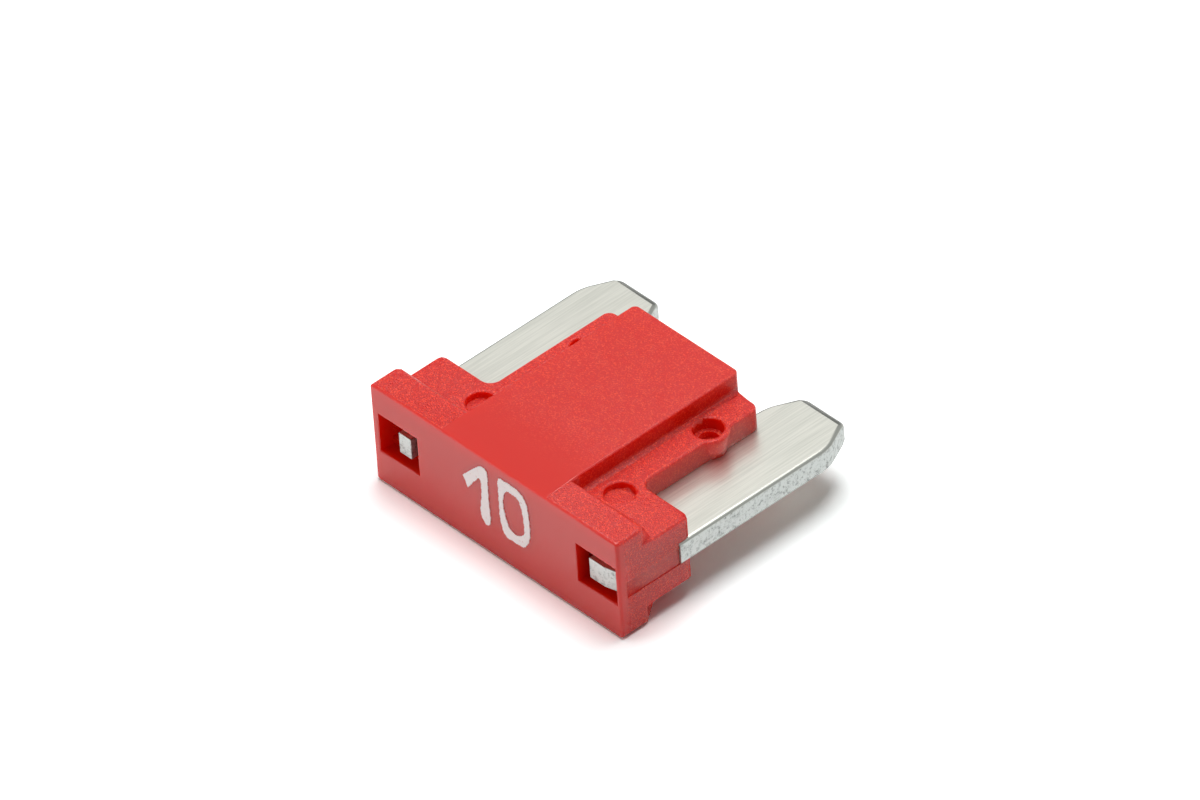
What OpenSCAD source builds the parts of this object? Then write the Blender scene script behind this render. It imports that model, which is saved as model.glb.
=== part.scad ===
// Low-profile mini blade fuse, 10 A, lying on its broad side.
// X runs across the blades, Y from the window face to the blade tips, Z through the thickness.
// The origin is on the ground under the middle of the part.

/* [Head] */
// Width of the head across both ends
head_w = 10.96; // [10.8:0.02:11.1]
// Depth of the whole head, window face to the face that the blades leave
head_depth = 2.95; // [2.85:0.01:3.1]
// Thickness of the front bar
bar_t = 3.68; // [3.4:0.02:3.8]
// Depth of the front bar
bar_depth = 1.18; // [0.95:0.01:1.5]
// Plan radius of the bar's back corners
bar_corner_r = 0.2; // [0.05:0.01:0.3]
// Plan radius of the shelf's back corners
shelf_corner_r = 0.25; // [0.1:0.01:0.4]
// Concave radius between the shelf and the strips
shelf_fillet_r = 0.38; // [0.2:0.02:0.6]
// Thickness of the end walls that cover the blades' shoulders
end_wall = 0.29; // [0.2:0.01:0.4]
// Length of the open slot at each end of the head's back
exit_len = 0.5; // [0.3:0.01:0.6]

/* [Block] */
// Width of the raised block
block_w = 4.62; // [4.2:0.02:5]
// Thickness of the raised block, the largest thickness of the part
block_t = 3.8; // [3.7:0.02:4.1]
// Distance from the window face to the block's far end
block_end = 8.02; // [7.6:0.02:8.4]
// Distance over which the block rises above the bar
block_rise = 1.05; // [0.5:0.05:1.5]
// Plan radius of the block's far corners
block_corner_r = 0.2; // [0.1:0.05:0.4]
// Concave radius where the block stands on the strips
block_foot_r = 0.18; // [0.1:0.02:0.25]

/* [Strips] */
// Width over the two strips that clamp the blades
strips_w = 6.66; // [6.5:0.02:6.9]
// Thickness over the strips and the shelf
strips_t = 2.42; // [2.2:0.02:2.6]
// Distance from the window face to the strips' far end
strip_end = 7.85; // [7.4:0.05:8]
// Plan radius of the strips' far corners
strip_corner_r = 0.3; // [0.1:0.05:0.4]

/* [Windows] */
// Width of a test window
window_w = 1.75; // [1.5:0.05:1.9]
// Height of a test window
window_h = 1.48; // [1.2:0.02:1.7]
// Distance of a window's centre outwards from its blade's centre line
window_out = 0.28; // [0.2:0.02:0.3]
// Sideways offset of the pair of windows
windows_x = 0.07; // [0:0.01:0.1]
// Height of the windows' centre above the middle plane
window_lift = 0.09; // [0:0.01:0.2]
// Depth of a window pocket
window_depth = 0.52; // [0.3:0.02:0.7]

/* [End grooves] */
// Height of the smooth groove along each end face
groove_h = 0.62; // [0.4:0.02:0.7]
// Depth of the groove
groove_depth = 0.06; // [0.02:0.01:0.1]
// Distance from the window face to the groove's start
groove_start = 0.3; // [0.2:0.05:0.6]

/* [Stake marks] */
// Radius of the stake marks, apart from the far left ones
mark_r = 0.48; // [0.35:0.01:0.5]
// Radius of the far left marks, where the punch went in less
small_mark_r = 0.38; // [0.34:0.01:0.4]
// Distance of the near marks from the part's middle line
near_mark_x = 3.06; // [2.95:0.01:3.3]
// Distance of the near marks from the window face
near_mark_y = 2.24; // [2.1:0.01:2.35]
// Depth of the near marks
near_mark_depth = 0.24; // [0.1:0.02:0.4]
// Distance of the far marks from the part's middle line
far_mark_x = 2.82; // [2.82:0.01:2.9]
// Distance of the far marks from the window face
far_mark_y = 6.1; // [5.4:0.05:6.8]
// Depth of the far marks' ledge
far_mark_depth = 0.42; // [0.2:0.02:0.5]
// Radius of the deeper hole inside the far marks
far_core_r = 0.32; // [0.2:0.01:0.33]
// Depth of that hole, less than the plastic over the blade
far_core_depth = 0.66; // [0.5:0.02:0.7]
// Sideways offset of the staking punch, the same for all marks
punch_shift = 0.1; // [0:0.01:0.1]
// Width of the lip that the punch pushes out round a far right mark
lip_w = 0.22; // [0.08:0.01:0.25]
// Radius of the lip's foot on the blade
lip_foot_r = 0.54; // [0.5:0.01:0.6]

/* [Fuse element] */
// Distance from the window face to the blade tips
element_end = 9.8; // [9.4:0.05:10.5]
// Thickness of the zinc sheet
sheet_t = 0.78; // [0.7:0.01:0.85]
// Width of a blade
blade_w = 2.82; // [2.7:0.01:2.86]
// Distance by which a blade's outer edge stands past the head's end
blade_proud = 0.04; // [0:0.01:0.06]
// Width that each corner of a blade tip tapers away
taper_w = 0.58; // [0.3:0.02:0.8]
// Length of the tip's tapered corners along the blade
taper_len = 1.2; // [0.8:0.05:1.3]
// Length of the coined bevel at the tip
coin_len = 0.28; // [0.1:0.02:0.4]
// Height of the coined bevel
coin_h = 0.12; // [0.05:0.01:0.2]
// Distance from the window face to a blade's inner end
blade_start = 0.95; // [0.8:0.05:1.2]
// Metal between a far stake hole and the inner edge of the blade's heel
heel_edge = 0.25; // [0.15:0.01:0.3]
// Length of the heel beyond the far stake holes' centres
heel_past = 0.7; // [0.5:0.05:0.9]
// Width of the left test tab
tab_w = 0.54; // [0.4:0.02:0.7]
// Distance of the left tab's centre outwards from its blade's centre line
tab_out = 0.11; // [0:0.01:0.3]
// Distance from the window face to a tab's face
tab_start = 0.17; // [0.1:0.01:0.25]
// Width of the right tab's clean face
torn_face_w = 0.65; // [0.4:0.05:0.8]
// Distance of the right tab's inner edge inwards from its blade's centre line
torn_in = 0.15; // [0:0.01:0.2]
// Width of the torn side of the right tab
torn_w = 0.43; // [0.1:0.01:0.5]
// Depth of that torn side
torn_depth = 0.1; // [0.05:0.01:0.2]

/* [Fusible link] */
// Thickness of the milled link
link_t = 0.3; // [0.2:0.02:0.4]
// Width of the link's ribbon
link_w = 0.5; // [0.3:0.05:0.6]
// Width at the link's neck, where it melts
neck_w = 0.3; // [0.2:0.02:0.4]
// Mean radius of the link's arch
arch_r = 1.1; // [0.8:0.05:1.2]
// Distance from the window face to the link's roots
link_root_y = 3; // [2.6:0.05:3.4]
// Distance from the window face to the centre of the arch
arch_y = 5.2; // [4.4:0.1:5.8]

/* [Cavity] */
// Wall of the block at its broad faces
block_skin = 0.8; // [0.6:0.02:0.9]
// Wall of the block at its sides
block_side = 0.5; // [0.35:0.05:0.6]
// Distance from the window face to the cavity's front
cavity_start = 1.7; // [1.5:0.05:2]

/* [Rating print] */
// Height of the digits
digit_h = 2.18; // [1.6:0.02:2.4]
// Width of the zero
zero_w = 1.33; // [1:0.01:1.5]
// Width of the zero's strokes at its sides
zero_side = 0.2; // [0.15:0.01:0.3]
// Width of the zero's strokes at its top and bottom
zero_cap = 0.33; // [0.2:0.01:0.4]
// Width of the one's upright
one_stroke = 0.38; // [0.25:0.01:0.5]
// Reach of the one's flag beyond the upright
one_flag = 0.74; // [0.4:0.02:0.9]
// Space between the digits
digit_gap = 0.47; // [0.3:0.01:0.6]
// Sideways place of the gap's middle
digits_x = -0.02; // [-0.1:0.01:0.1]
// Height of the digits' centre above the middle plane
digits_lift = 0.36; // [0:0.02:0.4]
// Thickness of the ink
ink_t = 0.02; // [0.01:0.005:0.05]

/* [Fits] */
// Clearance round the zinc sheet in its slot
sheet_gap = 0.02; // [0.01:0.01:0.05]
// Radius of the stake holes through the blades
stake_hole_r = 0.32; // [0.25:0.01:0.36]
// Radial clearance of the staked plugs in those holes
plug_gap = 0.03; // [0.02:0.01:0.05]
// Length of a staked plug
plug_len = 0.26; // [0.15:0.01:0.3]

/* [Hidden] */
$fn = 64;
// Overrun of a cut past the face that it opens
over = 1;
mid_z = block_t / 2;
slot_t = sheet_t + 2 * sheet_gap;
blade_out = head_w / 2 + blade_proud;
blade_in = blade_out - blade_w;
blade_x = blade_out - blade_w / 2;
heel_x = far_mark_x - stake_hole_r - heel_edge;
heel_y = cavity_start + sheet_gap;
shoulder_x = head_w / 2 - end_wall;
shoulder_y = head_depth - exit_len;
// Number of points round the zero
zero_points = 72;
// Roundness of the zero: 2 is an ellipse, more is squarer
zero_power = 2.7;

// Puts a shape drawn from the window face and the middle plane in the part's own frame.
module placed() {
    translate([0, -element_end / 2, mid_z]) children();
}

// Repeats a shape drawn on the right on the left, and on the underside.
module both_sides() {
    children();
    mirror([1, 0, 0]) children();
}

module both_faces() {
    children();
    mirror([0, 0, 1]) children();
}

// A plan outline as a plate of thickness t about the middle plane.
module plate(t) {
    translate([0, 0, -t / 2]) linear_extrude(height = t) children();
}

// A rectangle centred on X, from y0 to y1.
module band(w, y0, y1) {
    translate([-w / 2, y0]) square([w, y1 - y0]);
}

// The same with its two far corners rounded.
module tongue(w, y0, y1, r) {
    union() {
        band(w, y0, y1 - r);
        band(w - 2 * r, y0, y1);
        for (side = [-1, 1])
            translate([side * (w / 2 - r), y1 - r]) circle(r);
    }
}

// The concave corner between the shelf's back and a strip.
module shelf_fillet() {
    difference() {
        translate([strips_w / 2, head_depth]) square(shelf_fillet_r);
        translate([strips_w / 2 + shelf_fillet_r, head_depth + shelf_fillet_r]) circle(shelf_fillet_r);
    }
}

// Head's shelf and the strips in one plan outline.
module shelf_plan() {
    tongue(head_w, 0, head_depth, shelf_corner_r);
    tongue(strips_w, 0, strip_end, strip_corner_r);
    shelf_fillet();
    mirror([1, 0]) shelf_fillet();
}

// Side view of the block: it rises from the bar's level to its full thickness.
module block_side_view() {
    polygon([
        [0, -bar_t / 2],
        [block_rise, -block_t / 2],
        [block_end, -block_t / 2],
        [block_end, block_t / 2],
        [block_rise, block_t / 2],
        [0, bar_t / 2]
    ]);
}

// End view of the block's concave foot on a strip.
module foot_fillet() {
    difference() {
        translate([block_w / 2, strips_t / 2]) square(block_foot_r);
        translate([block_w / 2 + block_foot_r, strips_t / 2 + block_foot_r]) circle(block_foot_r);
    }
}

module block() {
    intersection() {
        plate(block_t) tongue(block_w, 0, block_end, block_corner_r);
        translate([-block_w / 2, 0, 0]) rotate([90, 0, 90])
            linear_extrude(height = block_w) block_side_view();
    }
    both_sides() both_faces()
        translate([0, strip_end, 0]) rotate([90, 0, 0])
            linear_extrude(height = strip_end - bar_depth) foot_fillet();
}

// Pockets behind the test windows.
module windows() {
    for (side = [-1, 1]) {
        middle = side * (blade_x + window_out) + windows_x;
        translate([middle - window_w / 2, -over, window_lift - window_h / 2])
            cube([window_w, window_depth + over, window_h]);
    }
}

// Plan of the slot that takes the zinc sheet, open towards the blades.
module slot_plan() {
    both_sides() {
        translate([blade_in - sheet_gap, window_depth])
            square([shoulder_x - blade_in + sheet_gap, head_depth - window_depth]);
        translate([shoulder_x - sheet_gap, shoulder_y])
            square([end_wall + sheet_gap + over, exit_len + over]);
    }
    band(2 * blade_in, cavity_start, block_end);
    band(head_w + over, head_depth, block_end + over);
}

// Room round the fusible link, open at the block's far end.
module cavity() {
    translate([-(block_w / 2 - block_side), cavity_start, -(block_t / 2 - block_skin)])
        cube([block_w - 2 * block_side, block_end - cavity_start + over, block_t - 2 * block_skin]);
}

// Shallow groove along each end face, level with the slot.
module end_grooves() {
    both_sides()
        translate([head_w / 2 - groove_depth, groove_start, -slot_t / 2])
            cube([groove_depth + over, head_depth - groove_start + over, groove_h]);
}

// A round hole down from the strips' level, depth deep.
module sinking(r, depth) {
    translate([0, 0, strips_t / 2 - depth]) cylinder(r = r, h = depth + over);
}

// Marks of the staking punches: one step deep in the head, two steps deep on the strips.
module stake_marks() {
    both_faces()
        for (side = [-1, 1]) {
            translate([side * near_mark_x + punch_shift, near_mark_y, 0]) sinking(mark_r, near_mark_depth);
            translate([side * far_mark_x + punch_shift, far_mark_y, 0]) {
                sinking(side < 0 ? small_mark_r : mark_r, far_mark_depth);
                sinking(far_core_r, far_core_depth);
            }
        }
}

// Plastic that the punch pushed past the strip's edge: it leans outwards as it rises.
module far_lips() {
    both_faces()
        translate([far_mark_x + punch_shift, far_mark_y, slot_t / 2])
            cylinder(r1 = lip_foot_r, r2 = mark_r + lip_w, h = (strips_t - slot_t) / 2);
}

// Plastic that fills the blades' stake holes from both faces.
module plugs() {
    both_sides() both_faces() {
        translate([near_mark_x, near_mark_y, 0]) plug();
        translate([far_mark_x, far_mark_y, 0]) plug();
    }
}

module plug() {
    translate([0, 0, slot_t / 2 - plug_len])
        cylinder(r = stake_hole_r - plug_gap, h = plug_len + sheet_gap);
}

module housing() {
    color("#d8352c") placed() {
        difference() {
            union() {
                plate(bar_t) tongue(head_w, 0, bar_depth, bar_corner_r);
                plate(strips_t) shelf_plan();
                block();
                far_lips();
            }
            windows();
            plate(slot_t) slot_plan();
            cavity();
            end_grooves();
            stake_marks();
        }
        plugs();
    }
}

// Plan of one blade: a shoulder and a heel inside the housing, and a tip with both corners tapered.
module blade_plan() {
    polygon([
        [blade_in, blade_start],
        [shoulder_x - sheet_gap, blade_start],
        [shoulder_x - sheet_gap, shoulder_y + sheet_gap],
        [blade_out, shoulder_y + sheet_gap],
        [blade_out, element_end - taper_len],
        [blade_out - taper_w, element_end],
        [blade_in + taper_w, element_end],
        [blade_in, element_end - taper_len]
    ]);
    translate([heel_x, heel_y]) square([blade_x - heel_x, far_mark_y + heel_past - heel_y]);
}

// Plan of the left tab, drawn on the right like the blade: cut square.
module cut_tab() {
    translate([blade_x + tab_out - tab_w / 2, tab_start]) square([tab_w, blade_start - tab_start]);
}

// Plan of the right tab: a clean face, and a torn side that slants back.
module torn_tab() {
    left = blade_x - torn_in;
    right = left + torn_face_w + torn_w;
    polygon([
        [left, tab_start],
        [left + torn_face_w, tab_start],
        [right, tab_start + torn_depth],
        [right, blade_start],
        [left, blade_start]
    ]);
}

// Side view of the sheet with its coined tip.
module sheet_side_view() {
    polygon([
        [0, -sheet_t / 2],
        [element_end - coin_len, -sheet_t / 2],
        [element_end, coin_h - sheet_t / 2],
        [element_end, sheet_t / 2 - coin_h],
        [element_end - coin_len, sheet_t / 2],
        [0, sheet_t / 2]
    ]);
}

module stake_holes() {
    for (place = [[near_mark_x, near_mark_y], [far_mark_x, far_mark_y]])
        translate([place[0], place[1], 0]) cylinder(r = stake_hole_r, h = sheet_t + over, center = true);
}

// One blade with the tab that is given as its child.
module blade() {
    difference() {
        intersection() {
            plate(sheet_t) {
                blade_plan();
                children();
            }
            rotate([90, 0, 90]) linear_extrude(height = head_w) sheet_side_view();
        }
        stake_holes();
    }
}

// Plan of the link: from a blade to the arch's leg, up to the arch, and over it.
module link_plan() {
    leg = link_w / 2;
    both_sides() {
        translate([arch_r - leg, link_root_y - leg]) square([blade_in - arch_r + leg, link_w]);
        translate([arch_r - leg, link_root_y - leg]) square([link_w, arch_y - link_root_y + leg]);
    }
    difference() {
        translate([0, arch_y]) circle(arch_r + leg);
        translate([0, arch_y]) circle(arch_r - leg);
        translate([-2 * arch_r, arch_y - 2 * arch_r]) square([4 * arch_r, 2 * arch_r]);
        for (side = [-1, 1])
            translate([0, arch_y + arch_r + side * (link_w / 2 + neck_w / 2)]) circle(link_w / 2);
    }
}

module fuse_element() {
    color("#c9c8be") placed() {
        blade() torn_tab();
        mirror([1, 0, 0]) blade() cut_tab();
        plate(link_t) link_plan();
    }
}

// Digits are drawn in the window face, with x to the right and y up, about their own middle.
module one_shape() {
    right = -digit_gap / 2;
    left = right - one_stroke;
    polygon([
        [left, -digit_h / 2],
        [right, -digit_h / 2],
        [right, digit_h / 2],
        [left + one_stroke / 4, digit_h / 2],
        [left - one_flag, digit_h / 6],
        [left - one_flag + one_stroke / 2, -digit_h / 24],
        [left, digit_h / 4]
    ]);
}

// Points of a rounded oval, half as wide as a and half as high as b.
function oval(a, b) = [
    for (i = [0 : zero_points - 1])
        let (t = 360 * i / zero_points, c = cos(t), s = sin(t))
            [a * sign(c) * pow(abs(c), 2 / zero_power), b * sign(s) * pow(abs(s), 2 / zero_power)]
];

module zero_shape() {
    translate([(digit_gap + zero_w) / 2, 0]) difference() {
        polygon(oval(zero_w / 2, digit_h / 2));
        polygon(oval(zero_w / 2 - zero_side, digit_h / 2 - zero_cap));
    }
}

module rating_print() {
    color("#f4f1ee") placed()
        translate([digits_x, 0, digits_lift]) rotate([90, 0, 0])
            linear_extrude(height = ink_t) {
                one_shape();
                zero_shape();
            }
}

housing();
fuse_element();
rating_print();
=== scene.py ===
"""Looks of a low-profile mini blade fuse that lies on its broad side on a white table.

Sizes and places are in millimetres, and each finished mesh turns to metres.
"""
from collections import namedtuple
import math

import bmesh
import bpy
import numpy as np
from mathutils import Matrix, Vector


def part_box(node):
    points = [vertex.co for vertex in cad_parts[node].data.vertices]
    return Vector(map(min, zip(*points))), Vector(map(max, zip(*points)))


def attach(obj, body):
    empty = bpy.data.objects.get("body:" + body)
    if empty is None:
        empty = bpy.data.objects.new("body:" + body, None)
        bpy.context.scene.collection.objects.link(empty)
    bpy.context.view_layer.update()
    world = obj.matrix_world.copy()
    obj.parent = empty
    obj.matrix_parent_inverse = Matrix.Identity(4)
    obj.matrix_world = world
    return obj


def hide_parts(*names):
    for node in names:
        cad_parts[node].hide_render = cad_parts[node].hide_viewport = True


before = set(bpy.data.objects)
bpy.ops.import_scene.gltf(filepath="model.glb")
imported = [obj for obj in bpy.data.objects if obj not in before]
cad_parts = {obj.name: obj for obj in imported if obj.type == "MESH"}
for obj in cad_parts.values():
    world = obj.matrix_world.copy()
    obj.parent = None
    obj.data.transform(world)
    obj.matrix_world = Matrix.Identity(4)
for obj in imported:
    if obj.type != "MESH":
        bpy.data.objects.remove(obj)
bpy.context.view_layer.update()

# Metres in a millimetre
MM = 0.001

# Place of the colour among a Mix node's outputs
MIXED_COLOUR = 2

# Camera of the photograph: a long lens from the front right, tilted a little
CAMERA_AZIMUTH = math.radians(49.955)
CAMERA_ELEVATION = math.radians(39.983)
CAMERA_ROLL = math.radians(-4.331)
CAMERA_DISTANCE = 662.194
CAMERA_AIM = Vector((-0.5682, -0.0127, 2.9293))
LENS = 660.0
SENSOR_WIDTH = 36.0
# Nearest and farthest distance that the camera sees
SEEN_FROM = 10.0
SEEN_TO = 10000.0

# Softbox overhead, a little behind the fuse, and a reflector at the front left
SOFTBOX_SIZE = 66.0
SOFTBOX_PLACE = Vector((-5.0, 13.0, 100.0))
SOFTBOX_RADIANCE = 6.7
REFLECTOR_SIZE = 60.0
REFLECTOR_PLACE = Vector((-60.0, -80.0, 36.0))
REFLECTOR_RADIANCE = 2.1
# White studio all round: how much light it gives, and how bright it is seen and mirrored
STUDIO_FILL = 0.14
STUDIO_WHITE = 1.0
# Table: the grey that lights the fuse from below, what the camera sees, and what is mirrored
FLOOR_SIZE = 900.0
FLOOR_GREY = 0.88
FLOOR_SHOWN = (1.36, 1.42, 1.42)
FLOOR_MIRRORED = 1.5
# Grey card low behind the left end: it gives the slopes of the metal something darker to mirror
CARD_DISTANCE = 300.0
CARD_WIDTH = 420.0
CARD_HEIGHT = 110.0
CARD_DIRECTION = Vector((-0.75, 0.66, 0.0))

# The moulding: x is counted from between the blades, y from the window face, z from mid height
low, high = (np.array(corner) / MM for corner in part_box("housing"))
FRONT_Y = low[1]
MID_Z = (low[2] + high[2]) / 2
HEAD_HALF = high[0]
HEAD_DEPTH = 2.95
BAR_TOP = 1.84
BAR_DEPTH = 1.18
SHELF_TOP = 1.21
BLOCK_TOP = high[2] - MID_Z
BLOCK_HALF = 2.31
# Concave foot of the block on each strip
BLOCK_FOOT = 0.18
# Distance over which the block rises above the bar
BLOCK_RISE = 1.05
STRIP_END = 7.85
WINDOW_DEPTH = 0.52
WINDOW_TOP = 0.83
# The bar's back wall slopes: it stands this much farther back at the shelf
BACK_SLOPE = 0.29
# The groove along each end face shows less deep than it is cut
GROOVE_DEPTH = 0.06
GROOVE_SHOWN = 0.025
# Far left mark of the staking punch, and the share of its size that it shows
LEFT_MARK_X = 2.72
LEFT_MARK_Y = 6.1
LEFT_MARK_R = 0.38
LEFT_MARK_SHARE = 0.86
# Distances from the window face at which the faces are divided: the rounding stays clean between them
HOUSING_CUTS = [0.16, BAR_DEPTH + BACK_SLOPE + 0.03, 2.66]

# Radii of the moulding's edges
BAR_FRONT_R = 0.06
BAR_UNDER_R = 0.03
BAR_BACK_R = 0.13
FACE_CORNER_R = 0.1
WINDOW_R = 0.04
SHELF_R = 0.09
BLOCK_R = 0.06

# The zinc stamping
metal_high = np.array(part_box("fuse_element")[1]) / MM
BLADE_OUT = metal_high[0]
TIP_END = metal_high[1] - FRONT_Y
SHEET_HALF = 0.39
TAPER_LENGTH = 1.2
# The tabs end and the blades start at this distance from the window face
BLADE_START = 0.95

# Radii of the stamping's edges: the punch drew down those above
BLADE_UPPER_R = 0.13
BLADE_LOWER_R = 0.05
TAB_R = 0.03
TIP_CORNER_R = 0.15
TAPER_CORNER_R = 0.3

# Front of the ink on the window face
INK_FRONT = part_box("rating_print")[0][1] / MM

# Points this near to a groove's floor lie on it, and this near to the bar's back wall they are part of it
ON_FLOOR = 0.002
ON_WALL = 0.01
# Edges this near to a line of the solids lie along it
ALONG_EDGE = 0.02
# Points nearer than this become one: as the solids come, and after rounding, so that no sliver is left
SAME_POINT = 0.0005
SLIVER = 0.006


def linear(code):
    """Linear colour of an sRGB hex code, by the sRGB curve."""
    channels = [int(code[i:i + 2], 16) / 255 for i in (1, 3, 5)]
    curve = [c / 12.92 if c <= 0.04045 else ((c + 0.055) / 1.055) ** 2.4 for c in channels]
    return (*curve, 1.0)


def add(tree, kind, sockets=None, stops=(), **settings):
    """Adds a shader node with its own settings, and fills its sockets with values or links.

    A colour ramp takes its stops from low to high, each a position and an sRGB hex code.
    """
    node = tree.nodes.new("ShaderNode" + kind)
    for name, value in settings.items():
        setattr(node, name, value)
    for name, value in (sockets or {}).items():
        if isinstance(value, bpy.types.NodeSocket):
            tree.links.new(value, node.inputs[name])
        else:
            node.inputs[name].default_value = value
    for place, (position, code) in enumerate(stops):
        elements = node.color_ramp.elements
        stop = elements[place] if place < 2 else elements.new(position)
        stop.position = position
        stop.color = linear(code)
    return node


def new_material(name):
    """An empty material and its node tree."""
    material = bpy.data.materials.new(name)
    material.use_nodes = True
    material.node_tree.nodes.clear()
    return material, material.node_tree


def per_metre(size_mm):
    """Scale of a noise whose features are about size_mm wide."""
    return 1 / (size_mm * MM)


def seen_level(tree, lighting, shown, mirrored):
    """A grey for the rays that light things, a colour for the camera's and a grey for mirrored rays."""
    path = add(tree, "LightPath")
    through = add(tree, "Math", {
        0: path.outputs["Is Glossy Ray"], 1: path.outputs["Is Transmission Ray"],
    }, operation="ADD", use_clamp=True)
    level = add(tree, "Mix", {
        "Factor": through.outputs[0], "A": (*[lighting] * 3, 1.0), "B": (*[mirrored] * 3, 1.0),
    }, data_type="RGBA")
    return add(tree, "Mix", {
        "Factor": path.outputs["Is Camera Ray"], "A": level.outputs[MIXED_COLOUR], "B": (*shown, 1.0),
    }, data_type="RGBA").outputs[MIXED_COLOUR]


def red_nylon():
    """Injection-moulded nylon, red, a little translucent: shaded walls glow a deep red.

    The mould's spark-eroded faces have a fine grain, drawn as bumps and as specks of colour: the bright
    specks are painted glints and the dark ones painted shade. Its polished window face has none. Each
    face carries how strong its grain is, and how far behind the window face it is full.
    """
    # Real grains are about 0.02 mm wide and a few thousandths high: they are drawn about twice as
    # coarse and far higher, so that they show
    grain_width = 0.05
    glint_speck_width = 0.038
    grain_height = 0.03
    # The grain starts at this share of the distance at which it is full
    start_share = 0.3
    material, tree = new_material("red_nylon_moulded")
    coords = add(tree, "TexCoord").outputs["Object"]
    place = add(tree, "SeparateXYZ", {0: coords})
    strength = add(tree, "Attribute", attribute_name="grain_strength").outputs["Fac"]
    onset = add(tree, "Attribute", attribute_name="grain_onset").outputs["Fac"]
    behind = add(tree, "Math", {0: place.outputs["Y"], 1: FRONT_Y * MM}, operation="SUBTRACT")
    early = add(tree, "Math", {0: onset, 1: start_share * MM}, operation="MULTIPLY")
    full = add(tree, "Math", {0: onset, 1: MM}, operation="MULTIPLY")
    eroded = add(tree, "MapRange", {
        "Value": behind.outputs[0], "From Min": early.outputs[0], "From Max": full.outputs[0],
        "To Min": 0.0, "To Max": strength,
    }, interpolation_type="SMOOTHSTEP").outputs[0]
    grain = add(tree, "TexNoise", {
        "Vector": coords, "Scale": per_metre(grain_width), "Detail": 1.0, "Roughness": 0.6,
    }).outputs[0]
    height = add(tree, "Math", {0: grain, 1: eroded}, operation="MULTIPLY")
    bump = add(tree, "Bump", {
        "Height": height.outputs[0], "Strength": 1.0, "Distance": grain_height * MM,
    })
    # Specks of colour: the bright ones (#FF5230) are painted glints of the grain, the dark ones (#CA0500)
    # painted shade
    glint_and_shade_specks = add(tree, "TexVoronoi", {"Vector": coords, "Scale": per_metre(glint_speck_width)})
    lot = add(tree, "SeparateColor", {0: glint_and_shade_specks.outputs["Color"]}).outputs[0]
    tone = add(tree, "ValToRGB", {0: lot}, [(0.0, "#CA0500"), (0.65, "#D61002"), (1.0, "#FF5230")])
    colour = add(tree, "Mix", {
        "Factor": eroded, "A": linear("#D81C08"), "B": tone.outputs[0],
    }, data_type="RGBA")
    rough = add(tree, "MapRange", {"Value": eroded, "To Min": 0.14, "To Max": 0.31})
    shader = add(tree, "BsdfPrincipled", {
        "Base Color": colour.outputs[MIXED_COLOUR],
        "Roughness": rough.outputs[0],
        "IOR": 1.46,
        "Subsurface Weight": 0.85,
        "Subsurface Radius": (1.0, 0.1, 0.06),
        "Subsurface Scale": 0.85 * MM,
        "Normal": bump.outputs[0],
    }, subsurface_method="RANDOM_WALK")
    add(tree, "OutputMaterial", {"Surface": shader.outputs[0]})
    return material


def rolled_zinc():
    """Zinc sheet, rolled and blanked: satin with fine lines along the blades.

    The sheared edges are rough and mottled. Where the sheet was coined or drawn down at an edge it is
    drawn darker: partly burnish, partly painted shade for the darker surroundings that these slopes
    mirror. Each is found by how far its surface turns away from level.
    """
    # Real rolling lines are about 0.02 mm wide: they are drawn three times as wide, so that they show
    line_width = 0.06
    line_stretch = 40.0
    line_depth = 0.0025
    # The torn grains of a sheared edge have about their real size
    torn_width = 0.13
    torn_depth = 0.016
    material, tree = new_material("zinc_rolled")
    coords = add(tree, "TexCoord").outputs["Object"]
    stretched = add(tree, "Mapping", {"Vector": coords, "Scale": (1.0, 1 / line_stretch, 1.0)})
    lines = add(tree, "TexNoise", {
        "Vector": stretched.outputs[0], "Scale": per_metre(line_width), "Detail": 3.0, "Roughness": 0.6,
    }).outputs[0]
    mottle = add(tree, "TexNoise", {
        "Vector": coords, "Scale": per_metre(torn_width), "Detail": 5.0, "Roughness": 0.72,
    }).outputs[0]
    facing = add(tree, "SeparateXYZ", {0: add(tree, "NewGeometry").outputs["Normal"]})
    level = add(tree, "Math", {0: facing.outputs["Z"]}, operation="ABSOLUTE").outputs[0]
    sheared = add(tree, "MapRange", {"Value": level, "From Min": 0.5, "From Max": 0.2}).outputs[0]
    sloping = add(tree, "MapRange", {"Value": level, "From Min": 0.985, "From Max": 0.93}).outputs[0]
    # Mask of the sloping faces, which are painted darker: partly burnish, partly painted shade
    burnish_and_shade = add(tree, "Math", {0: sloping, 1: sheared}, operation="SUBTRACT", use_clamp=True)
    height = add(tree, "Mix", {"Factor": sheared, "A": lines, "B": mottle}, data_type="FLOAT")
    depth = add(tree, "MapRange", {"Value": sheared, "To Min": line_depth * MM, "To Max": torn_depth * MM})
    bump = add(tree, "Bump", {
        "Height": height.outputs[0], "Strength": 1.0, "Distance": depth.outputs[0],
    })
    satin = add(tree, "ValToRGB", {0: lines}, [(0.3, "#C1C2B9"), (0.65, "#D3D3CA")])
    torn = add(tree, "ValToRGB", {0: mottle}, [(0.34, "#7E8380"), (0.5, "#BCC1BE")])
    # The slopes' darker grey #92948E is partly burnish and partly painted shade
    flat = add(tree, "Mix", {
        "Factor": burnish_and_shade.outputs[0], "A": satin.outputs[0], "B": linear("#92948E"),
    }, data_type="RGBA")
    tone = add(tree, "Mix", {
        "Factor": sheared, "A": flat.outputs[MIXED_COLOUR], "B": torn.outputs[0],
    }, data_type="RGBA")
    rough = add(tree, "MapRange", {"Value": sheared, "To Min": 0.31, "To Max": 0.45})
    shader = add(tree, "BsdfPrincipled", {
        "Base Color": tone.outputs[MIXED_COLOUR],
        "Metallic": 0.85,
        "Roughness": rough.outputs[0],
        "Normal": bump.outputs[0],
    })
    add(tree, "OutputMaterial", {"Surface": shader.outputs[0]})
    return material


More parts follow.
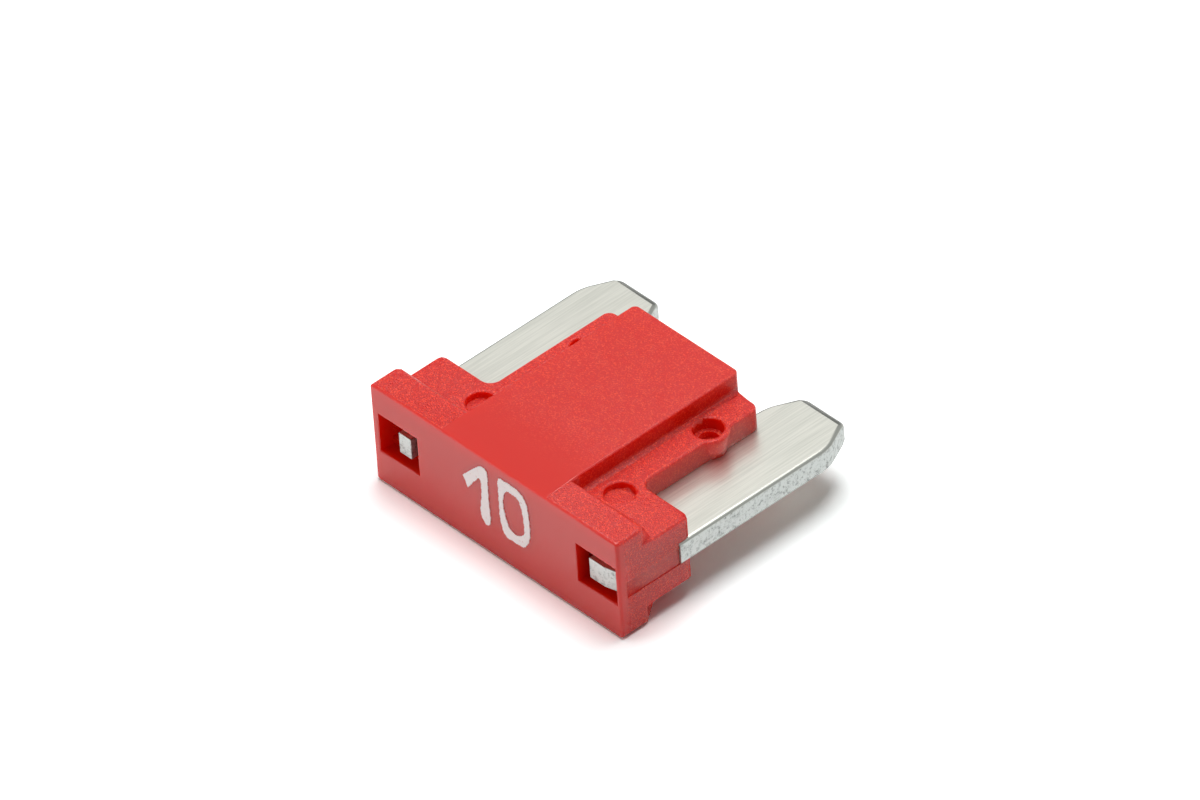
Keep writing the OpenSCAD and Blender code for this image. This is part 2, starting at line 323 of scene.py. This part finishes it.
def white_ink():
    """Pad-printed ink: matt white, thin enough for the red to tint it in spots about 0.1 mm wide."""
    spot_width = 0.12
    material, tree = new_material("white_ink_printed")
    coords = add(tree, "TexCoord").outputs["Object"]
    thin = add(tree, "TexNoise", {"Vector": coords, "Scale": per_metre(spot_width), "Detail": 2.0})
    tone = add(tree, "ValToRGB", {0: thin.outputs[0]}, [(0.2, "#E8B8B4"), (0.38, "#FFF6F4")])
    shader = add(tree, "BsdfPrincipled", {"Base Color": tone.outputs[0], "Roughness": 0.5})
    add(tree, "OutputMaterial", {"Surface": shader.outputs[0]})
    return material


def table_white():
    """Matt white table: it takes the shadow, and unshadowed it shows as plain white."""
    material, tree = new_material("table_white_matt")
    paint = add(tree, "BsdfDiffuse", {
        "Color": seen_level(tree, FLOOR_GREY, FLOOR_SHOWN, FLOOR_MIRRORED),
    })
    add(tree, "OutputMaterial", {"Surface": paint.outputs[0]})
    return material


def card_grey():
    """Matt grey card."""
    material, tree = new_material("card_grey_matt")
    paint = add(tree, "BsdfDiffuse", {"Color": linear("#A8A8A8")})
    add(tree, "OutputMaterial", {"Surface": paint.outputs[0]})
    return material


def merged_copy(node, cuts=()):
    """A CAD node's mesh in millimetres, its triangles joined and its flat faces made whole.

    Each cut is a distance from the window face at which the faces are divided.
    """
    flat_within = math.radians(0.5)
    shape = bmesh.new()
    shape.from_mesh(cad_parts[node].data)
    bmesh.ops.scale(shape, vec=(1 / MM,) * 3, verts=shape.verts)
    bmesh.ops.remove_doubles(shape, verts=shape.verts, dist=SAME_POINT)
    bmesh.ops.dissolve_limit(shape, angle_limit=flat_within, verts=shape.verts, edges=shape.edges)
    for distance in cuts:
        whole = [*shape.verts, *shape.edges, *shape.faces]
        bmesh.ops.bisect_plane(shape, geom=whole, plane_co=(0, FRONT_Y + distance, 0), plane_no=(0, 1, 0))
    mesh = bpy.data.meshes.new(node)
    shape.to_mesh(mesh)
    shape.free()
    return mesh


def read(collection, name, width=1, kind=np.float32):
    """One property of all items of a mesh's collection as an array."""
    values = np.zeros(len(collection) * width, kind)
    collection.foreach_get(name, values)
    return values.reshape(-1, width) if width > 1 else values


def places(points):
    """Distances of points sideways from the part's middle, from the window face and up from mid height."""
    return np.abs(points[:, 0]), points[:, 1] - FRONT_Y, points[:, 2] - MID_Z


# A mesh's edges: middles, which run level and which upright, both faces' normals, which edges stand out,
# and the angle between the normals in degrees
Edges = namedtuple("Edges", "middles level upright normals stands_out bend")


def edge_facts(mesh):
    """The facts of a mesh's edges as arrays.

    An edge stands out where the second face's normal points away from the inside of the first. It runs
    level or upright where the share of its direction that goes up is small or large.
    """
    points = read(mesh.vertices, "co", 3)
    ends = read(mesh.edges, "vertices", 2, np.int32)
    normals = read(mesh.polygons, "normal", 3)
    loops_in = read(mesh.polygons, "loop_total", 1, np.int32)
    face_of = np.repeat(np.arange(len(mesh.polygons)), loops_in)
    edge_of = read(mesh.loops, "edge_index", 1, np.int32)
    start_of = read(mesh.loops, "vertex_index", 1, np.int32)
    order = np.argsort(edge_of, kind="stable")
    one, other = order[0::2], order[1::2]
    a, b = points[ends[:, 0]], points[ends[:, 1]]
    along = (b - a) / np.maximum(np.linalg.norm(b - a, axis=1, keepdims=True), 1e-9)
    turned = np.where(start_of[one] == ends[:, 0], 1.0, -1.0)[:, None]
    first, second = normals[face_of[one]], normals[face_of[other]]
    inward = np.cross(first, along * turned)
    stands_out = (inward * second).sum(1) < 0
    bend = np.degrees(np.arccos(np.clip((first * second).sum(1), -1, 1)))
    climb = np.abs(along[:, 2])
    return Edges((a + b) / 2, climb < 0.4, climb > 0.9, (first, second), stands_out, bend)


def first_choice(edges, choices, least_bend):
    """Each edge's radius: the choices pair masks with radii, and the first mask that takes it in holds.

    Hollow edges and those that bend less than least_bend degrees stay as they are.
    """
    masks, radii = zip(*choices)
    return np.where(edges.stands_out & (edges.bend >= least_bend), np.select(masks, radii, 0.0), 0.0)


def rounded(mesh, name, radii, segments):
    """A piece whose edges are rounded, each by its own radius, with the rounding baked into its mesh.

    Each edge's weight is its share of the widest radius. Weights of an earlier rounding are removed.
    """
    widest = float(radii.max())
    last_weights = mesh.attributes.get("bevel_weight_edge")
    if last_weights:
        mesh.attributes.remove(last_weights)
    weights = mesh.attributes.new("bevel_weight_edge", "FLOAT", "EDGE")
    weights.data.foreach_set("value", (radii / widest).astype(np.float32))
    piece = bpy.data.objects.new(name, mesh)
    bpy.context.scene.collection.objects.link(piece)
    bevel = piece.modifiers.new("rounding", "BEVEL")
    bevel.limit_method = "WEIGHT"
    bevel.width = widest
    bevel.segments = segments
    bevel.use_clamp_overlap = False
    bevel.loop_slide = False
    baked = bpy.data.meshes.new_from_object(piece.evaluated_get(bpy.context.evaluated_depsgraph_get()))
    piece.modifiers.clear()
    shape = bmesh.new()
    shape.from_mesh(baked)
    bmesh.ops.remove_doubles(shape, verts=shape.verts, dist=SLIVER)
    shape.to_mesh(baked)
    shape.free()
    piece.data = baked
    return piece


def housing_radii(mesh):
    """Rounding of the moulding's edges, by where each edge lies."""
    edges = edge_facts(mesh)
    x, y, height = places(edges.middles)
    z = np.abs(height)
    window_face = y < ALONG_EDGE
    bar = (np.abs(z - BAR_TOP) < ALONG_EDGE) & edges.level
    shelf = (np.abs(z - SHELF_TOP) < ALONG_EDGE) & edges.level
    block = (np.abs(z - BLOCK_TOP) < ALONG_EDGE) & edges.level
    beside_block = x > BLOCK_HALF + BLOCK_FOOT + ALONG_EDGE
    return first_choice(edges, [
        (bar & window_face & (height > 0), BAR_FRONT_R),
        (bar & window_face, BAR_UNDER_R),
        (bar & (y < BAR_DEPTH + ALONG_EDGE) & (x > BLOCK_HALF), BAR_BACK_R),
        (edges.upright & window_face & (np.abs(x - HEAD_HALF) < ALONG_EDGE), FACE_CORNER_R),
        (window_face & (z < WINDOW_TOP + ALONG_EDGE), WINDOW_R),
        (shelf & beside_block & (y > BAR_DEPTH + ALONG_EDGE), SHELF_R),
        (block & (y > BLOCK_RISE + ALONG_EDGE), BLOCK_R),
    ], least_bend=25)


def grain_facts(mesh):
    """Strength of the mould's grain on each face, and how far behind the window face it is full."""
    normals = read(mesh.polygons, "normal", 3)
    faces_front = normals[:, 1] < -0.7
    faces_end = np.abs(normals[:, 0]) > 0.9
    wall = np.abs(normals[:, 2]) < 0.5
    x, y, height = places(read(mesh.polygons, "center", 3))
    z = np.abs(height)
    # How deep under the end face or the bar's level a face may lie and still be part of it
    skin = 0.1
    block_face = (x < BLOCK_HALF + ALONG_EDGE) & (z > BAR_TOP - skin / 2)
    end_face = faces_end & (x > HEAD_HALF - skin)
    in_groove = end_face & (x < HEAD_HALF - ON_WALL)
    in_window = (y < WINDOW_DEPTH + skin) & (z < WINDOW_TOP + ALONG_EDGE) & (x < HEAD_HALF - skin)
    # How far back the grain is full: on most faces, on the end faces and on the block
    near, farther, far = 0.12, 0.45, 3.0
    strength = np.full(len(x), 1.0)
    onset = np.full(len(x), near)
    # The last of these that takes a face in holds
    for chosen, level, start in [
        (wall, 0.45, near),
        (block_face, 0.55, far),
        (end_face, 1.0, farther),
        (in_groove, 0.7, farther),
        (in_window | faces_front, 0.0, near),
    ]:
        strength[chosen] = level
        onset[chosen] = start
    return strength, onset


def plan_radii(mesh):
    """Rounding of the stamping's upright corners at the blade tips."""
    edges = edge_facts(mesh)
    y = places(edges.middles)[1]
    return first_choice(edges, [
        (edges.upright & (y > TIP_END - TAPER_LENGTH / 2), TIP_CORNER_R),
        (edges.upright & (y > TIP_END - TAPER_LENGTH - ALONG_EDGE), TAPER_CORNER_R),
    ], least_bend=15)


def stamping_radii(mesh):
    """Rounding of the stamping's long edges, where they are bare, and of its tabs' edges."""
    edges = edge_facts(mesh)
    x, y, height = places(edges.middles)
    outer = np.maximum(*(np.abs(normals[:, 0]) for normals in edges.normals)) > 0.5
    outer &= x > BLADE_OUT - SHEET_HALF
    # The rounding starts a little way inside the head and the strips
    past_head = y > HEAD_DEPTH - 0.4
    past_strips = y > STRIP_END - 0.1
    bare = past_head & (past_strips | outer) & edges.level & (np.abs(height) > SHEET_HALF / 2)
    return first_choice(edges, [
        (bare & (height > 0), BLADE_UPPER_R),
        (bare, BLADE_LOWER_R),
        (y < BLADE_START - ALONG_EDGE, TAB_R),
    ], least_bend=30)


def finish_piece(piece, node, material):
    """Puts a finished piece in metres and in its place of the frame."""
    piece.data.transform(Matrix.Scale(MM, 4))
    piece.data.materials.clear()
    piece.data.materials.append(material)
    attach(piece, "root")
    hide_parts(node)


def shade_by_angle(piece, degrees):
    """Smooth shading, crisp where faces meet at more than the angle.

    Large flat faces keep their own normals, so the rounding beside them takes up the whole turn.
    """
    mesh = piece.data
    mesh.polygons.foreach_set("use_smooth", np.ones(len(mesh.polygons), bool))
    mesh.set_sharp_from_angle(angle=math.radians(degrees))
    weighted = piece.modifiers.new("flat_faces_first", "WEIGHTED_NORMAL")
    weighted.keep_sharp = True
    weighted.weight = 100


def make_housing():
    """The moulding: the solid, finished by small moves of its points, and with rounded edges.

    The foot of the bar's back wall moves back, the grooves' floors move out, and the far left marks
    shrink about their own axis.
    """
    mesh = merged_copy("housing", HOUSING_CUTS)
    points = read(mesh.vertices, "co", 3)
    x, y, height = places(points)
    foot = (np.abs(y - BAR_DEPTH) < ON_WALL) & (np.abs(np.abs(height) - SHELF_TOP) < ON_WALL)
    foot &= x > BLOCK_HALF - ALONG_EDGE
    groove = np.abs(x - (HEAD_HALF - GROOVE_DEPTH)) < ON_FLOOR
    from_mark = points[:, :2] - np.array([-LEFT_MARK_X, FRONT_Y + LEFT_MARK_Y])
    in_mark = np.linalg.norm(from_mark, axis=1) < LEFT_MARK_R + ALONG_EDGE
    points[foot, 1] += BACK_SLOPE
    points[groove, 0] += np.sign(points[groove, 0]) * (GROOVE_DEPTH - GROOVE_SHOWN)
    points[in_mark, :2] += (LEFT_MARK_SHARE - 1) * from_mark[in_mark]
    mesh.vertices.foreach_set("co", points.ravel())
    piece = rounded(mesh, "housing_shell", housing_radii(mesh), segments=3)
    for name, values in zip(("grain_strength", "grain_onset"), grain_facts(piece.data)):
        layer = piece.data.attributes.new(name, "FLOAT", "FACE")
        layer.data.foreach_set("value", values.astype(np.float32))
    shade_by_angle(piece, 40)
    finish_piece(piece, "housing", red_nylon())


def make_element():
    """The zinc stamping: the solid with its tips' corners rounded first, and then its long edges."""
    mesh = merged_copy("fuse_element")
    corners = rounded(mesh, "fuse_element_corners", plan_radii(mesh), segments=5)
    mesh = corners.data
    bpy.data.objects.remove(corners)
    piece = rounded(mesh, "zinc_stamping", stamping_radii(mesh), segments=5)
    shade_by_angle(piece, 20)
    finish_piece(piece, "fuse_element", rolled_zinc())


def through_points(points, samples, closed):
    """A smooth curve through the points, sampled evenly between each two.

    It is the Catmull-Rom cubic: at each point its slope is half of the way from the last point to the next.
    """
    points = np.array(points, float)
    if closed:
        padded = np.vstack([points[-1], points, points[0], points[1]])
    else:
        padded = np.vstack([2 * points[0] - points[1], points, 2 * points[-1] - points[-2]])
    share = np.linspace(0, 1, samples, endpoint=False)[:, None, None]
    before, here, there, after = (padded[i:len(padded) - 3 + i] for i in range(4))
    curve = here + share / 2 * (there - before
                                + share * (2 * before - 5 * here + 4 * there - after
                                           + share * (3 * here - before - 3 * there + after)))
    curve = curve.transpose(1, 0, 2).reshape(-1, 2)
    return curve if closed else np.vstack([curve, points[-1]])


def ink_stroke(one_side, other_side, closed):
    """Points and faces of one stroke of ink between its two sides, both given in x and z.

    The stroke is the ruled strip P(s, t) = (1 - t) * one(s) + t * other(s), drawn out by the ink's
    thickness. Both sides waver by a slow and a quick wave of their own place, up to about 0.02 mm.
    """
    samples = 14
    columns = 5
    # The waves are about 0.3 and 0.1 mm long, and those of x and z are out of step
    slow, quick = 0.010, 0.009
    sides = [through_points(side, samples, closed) for side in (one_side, other_side)]
    shares = np.linspace(0, 1, columns)[None, :, None]
    plan = (1 - shares) * sides[0][:, None] + shares * sides[1][:, None]
    x, z = plan[..., 0], plan[..., 1]
    plan = plan + np.stack([
        slow * np.sin(21.0 * z + 2.0) + quick * np.sin(57.0 * z + 9.0 * x),
        slow * np.sin(19.0 * x + 1.0) + quick * np.sin(61.0 * x + 7.0 * z),
    ], -1)
    rows = len(plan)
    front = np.stack([plan[..., 0], np.full((rows, columns), INK_FRONT), plan[..., 1]], -1)
    back = front + np.array([0.0, FRONT_Y - INK_FRONT, 0.0])
    points = np.concatenate([front.reshape(-1, 3), back.reshape(-1, 3)])
    index = np.arange(rows * columns).reshape(rows, columns)
    onward = np.roll(index, -1, 0)
    if not closed:
        index, onward = index[:-1], onward[:-1]

    def quads(a, b, c, d):
        return np.stack([a, b, c, d], -1).reshape(-1, 4)

    behind = rows * columns
    faces = [
        quads(index[:, :-1], onward[:, :-1], onward[:, 1:], index[:, 1:]),
        quads(index[:, 1:], onward[:, 1:], onward[:, :-1], index[:, :-1]) + behind,
        quads(onward[:, 0], index[:, 0], index[:, 0] + behind, onward[:, 0] + behind),
        quads(index[:, -1], onward[:, -1], onward[:, -1] + behind, index[:, -1] + behind),
    ]
    if not closed:
        first = index[0]
        last = onward[-1]
        faces.append(quads(first[:-1], first[1:], first[1:] + behind, first[:-1] + behind))
        faces.append(quads(last[1:], last[:-1], last[:-1] + behind, last[1:] + behind))
    return points, np.concatenate(faces)


def make_print():
    """The digits: each is one stroke of ink between two sides."""
    one = ink_stroke(
        [(-1.38, 2.54), (-0.97, 2.97), (-0.58, 3.33), (-0.36, 3.36), (-0.25, 3.18), (-0.26, 2.8),
         (-0.27, 2.2), (-0.25, 1.6), (-0.27, 1.27), (-0.38, 1.12)],
        [(-1.18, 2.17), (-0.9, 2.54), (-0.72, 2.77), (-0.62, 2.82), (-0.57, 2.74), (-0.56, 2.48),
         (-0.59, 2.1), (-0.67, 1.6), (-0.64, 1.33), (-0.5, 1.13)],
        closed=False)
    zero = ink_stroke(
        [(0.25, 3.32), (0.56, 3.38), (0.9, 3.38), (1.22, 3.31), (1.46, 3.04), (1.53, 2.6), (1.54, 1.9),
         (1.42, 1.45), (1.19, 1.19), (0.7, 1.15), (0.38, 1.2), (0.22, 1.7), (0.21, 2.3), (0.22, 2.85)],
        [(0.53, 2.98), (0.62, 3.04), (0.8, 3.06), (1.0, 3.04), (1.17, 2.91), (1.27, 2.5), (1.3, 1.95),
         (1.24, 1.7), (1.0, 1.5), (0.75, 1.5), (0.58, 1.63), (0.44, 2.05), (0.39, 2.4), (0.43, 2.7)],
        closed=True)
    points = np.concatenate([one[0], zero[0]])
    faces = np.concatenate([one[1], zero[1] + len(one[0])])
    mesh = bpy.data.meshes.new("digits")
    mesh.from_pydata(points.tolist(), [], faces.tolist())
    piece = bpy.data.objects.new("digits", mesh)
    bpy.context.scene.collection.objects.link(piece)
    finish_piece(piece, "rating_print", white_ink())


def flat_panel(name, corners, material):
    """A flat panel of the studio between four corners."""
    mesh = bpy.data.meshes.new(name)
    mesh.from_pydata([corner * MM for corner in corners], [], [(0, 1, 2, 3)])
    mesh.materials.append(material)
    panel = bpy.data.objects.new(name, mesh)
    bpy.context.scene.collection.objects.link(panel)
    return panel


def make_studio():
    """Table, grey card, softbox, reflector and white surroundings."""
    half = FLOOR_SIZE / 2
    turns = [(-1, -1), (1, -1), (1, 1), (-1, 1)]
    flat_panel("table", [Vector((half * x, half * y, 0.0)) for x, y in turns], table_white())

    away = CARD_DIRECTION.normalized()
    side = Vector((-away.y, away.x, 0.0)) * CARD_WIDTH / 2
    foot = away * CARD_DISTANCE
    top = Vector((0.0, 0.0, CARD_HEIGHT))
    card = flat_panel("card", [foot - side, foot + side, foot + side + top, foot - side + top], card_grey())
    card.visible_camera = False
    card.visible_diffuse = False

    for name, size, place, radiance in [
        ("softbox", SOFTBOX_SIZE, SOFTBOX_PLACE, SOFTBOX_RADIANCE),
        ("reflector", REFLECTOR_SIZE, REFLECTOR_PLACE, REFLECTOR_RADIANCE),
    ]:
        panel = bpy.data.lights.new(name, "AREA")
        panel.size = size * MM
        panel.energy = radiance * math.pi * panel.size ** 2
        lamp = bpy.data.objects.new(name, panel)
        lamp.location = place * MM
        lamp.rotation_euler = (-place).to_track_quat("-Z", "Y").to_euler()
        bpy.context.scene.collection.objects.link(lamp)

    world = bpy.data.worlds.new("studio")
    world.use_nodes = True
    tree = world.node_tree
    tree.nodes.clear()
    light = add(tree, "Background", {
        "Color": seen_level(tree, STUDIO_FILL, [STUDIO_WHITE] * 3, STUDIO_WHITE), "Strength": 1.0,
    })
    add(tree, "OutputWorld", {"Surface": light.outputs[0]})
    bpy.context.scene.world = world


def make_camera():
    """The photograph's camera, turned about its own axis by the roll."""
    back = Vector((
        math.sin(CAMERA_AZIMUTH) * math.cos(CAMERA_ELEVATION),
        -math.cos(CAMERA_AZIMUTH) * math.cos(CAMERA_ELEVATION),
        math.sin(CAMERA_ELEVATION),
    ))
    right = Vector((math.cos(CAMERA_AZIMUTH), math.sin(CAMERA_AZIMUTH), 0.0))
    up = back.cross(right)
    side = math.cos(CAMERA_ROLL) * right + math.sin(CAMERA_ROLL) * up
    top = -math.sin(CAMERA_ROLL) * right + math.cos(CAMERA_ROLL) * up
    camera = bpy.data.cameras.new("camera")
    camera.lens = LENS
    camera.sensor_width = SENSOR_WIDTH
    camera.clip_start = SEEN_FROM * MM
    camera.clip_end = SEEN_TO * MM
    holder = bpy.data.objects.new("camera", camera)
    turn = Matrix((side, top, back)).transposed().to_4x4()
    holder.matrix_world = Matrix.Translation((CAMERA_AIM + CAMERA_DISTANCE * back) * MM) @ turn
    bpy.context.scene.collection.objects.link(holder)
    bpy.context.scene.camera = holder


bpy.context.scene.view_settings.view_transform = "Standard"
make_camera()
make_studio()
make_housing()
make_element()
make_print()
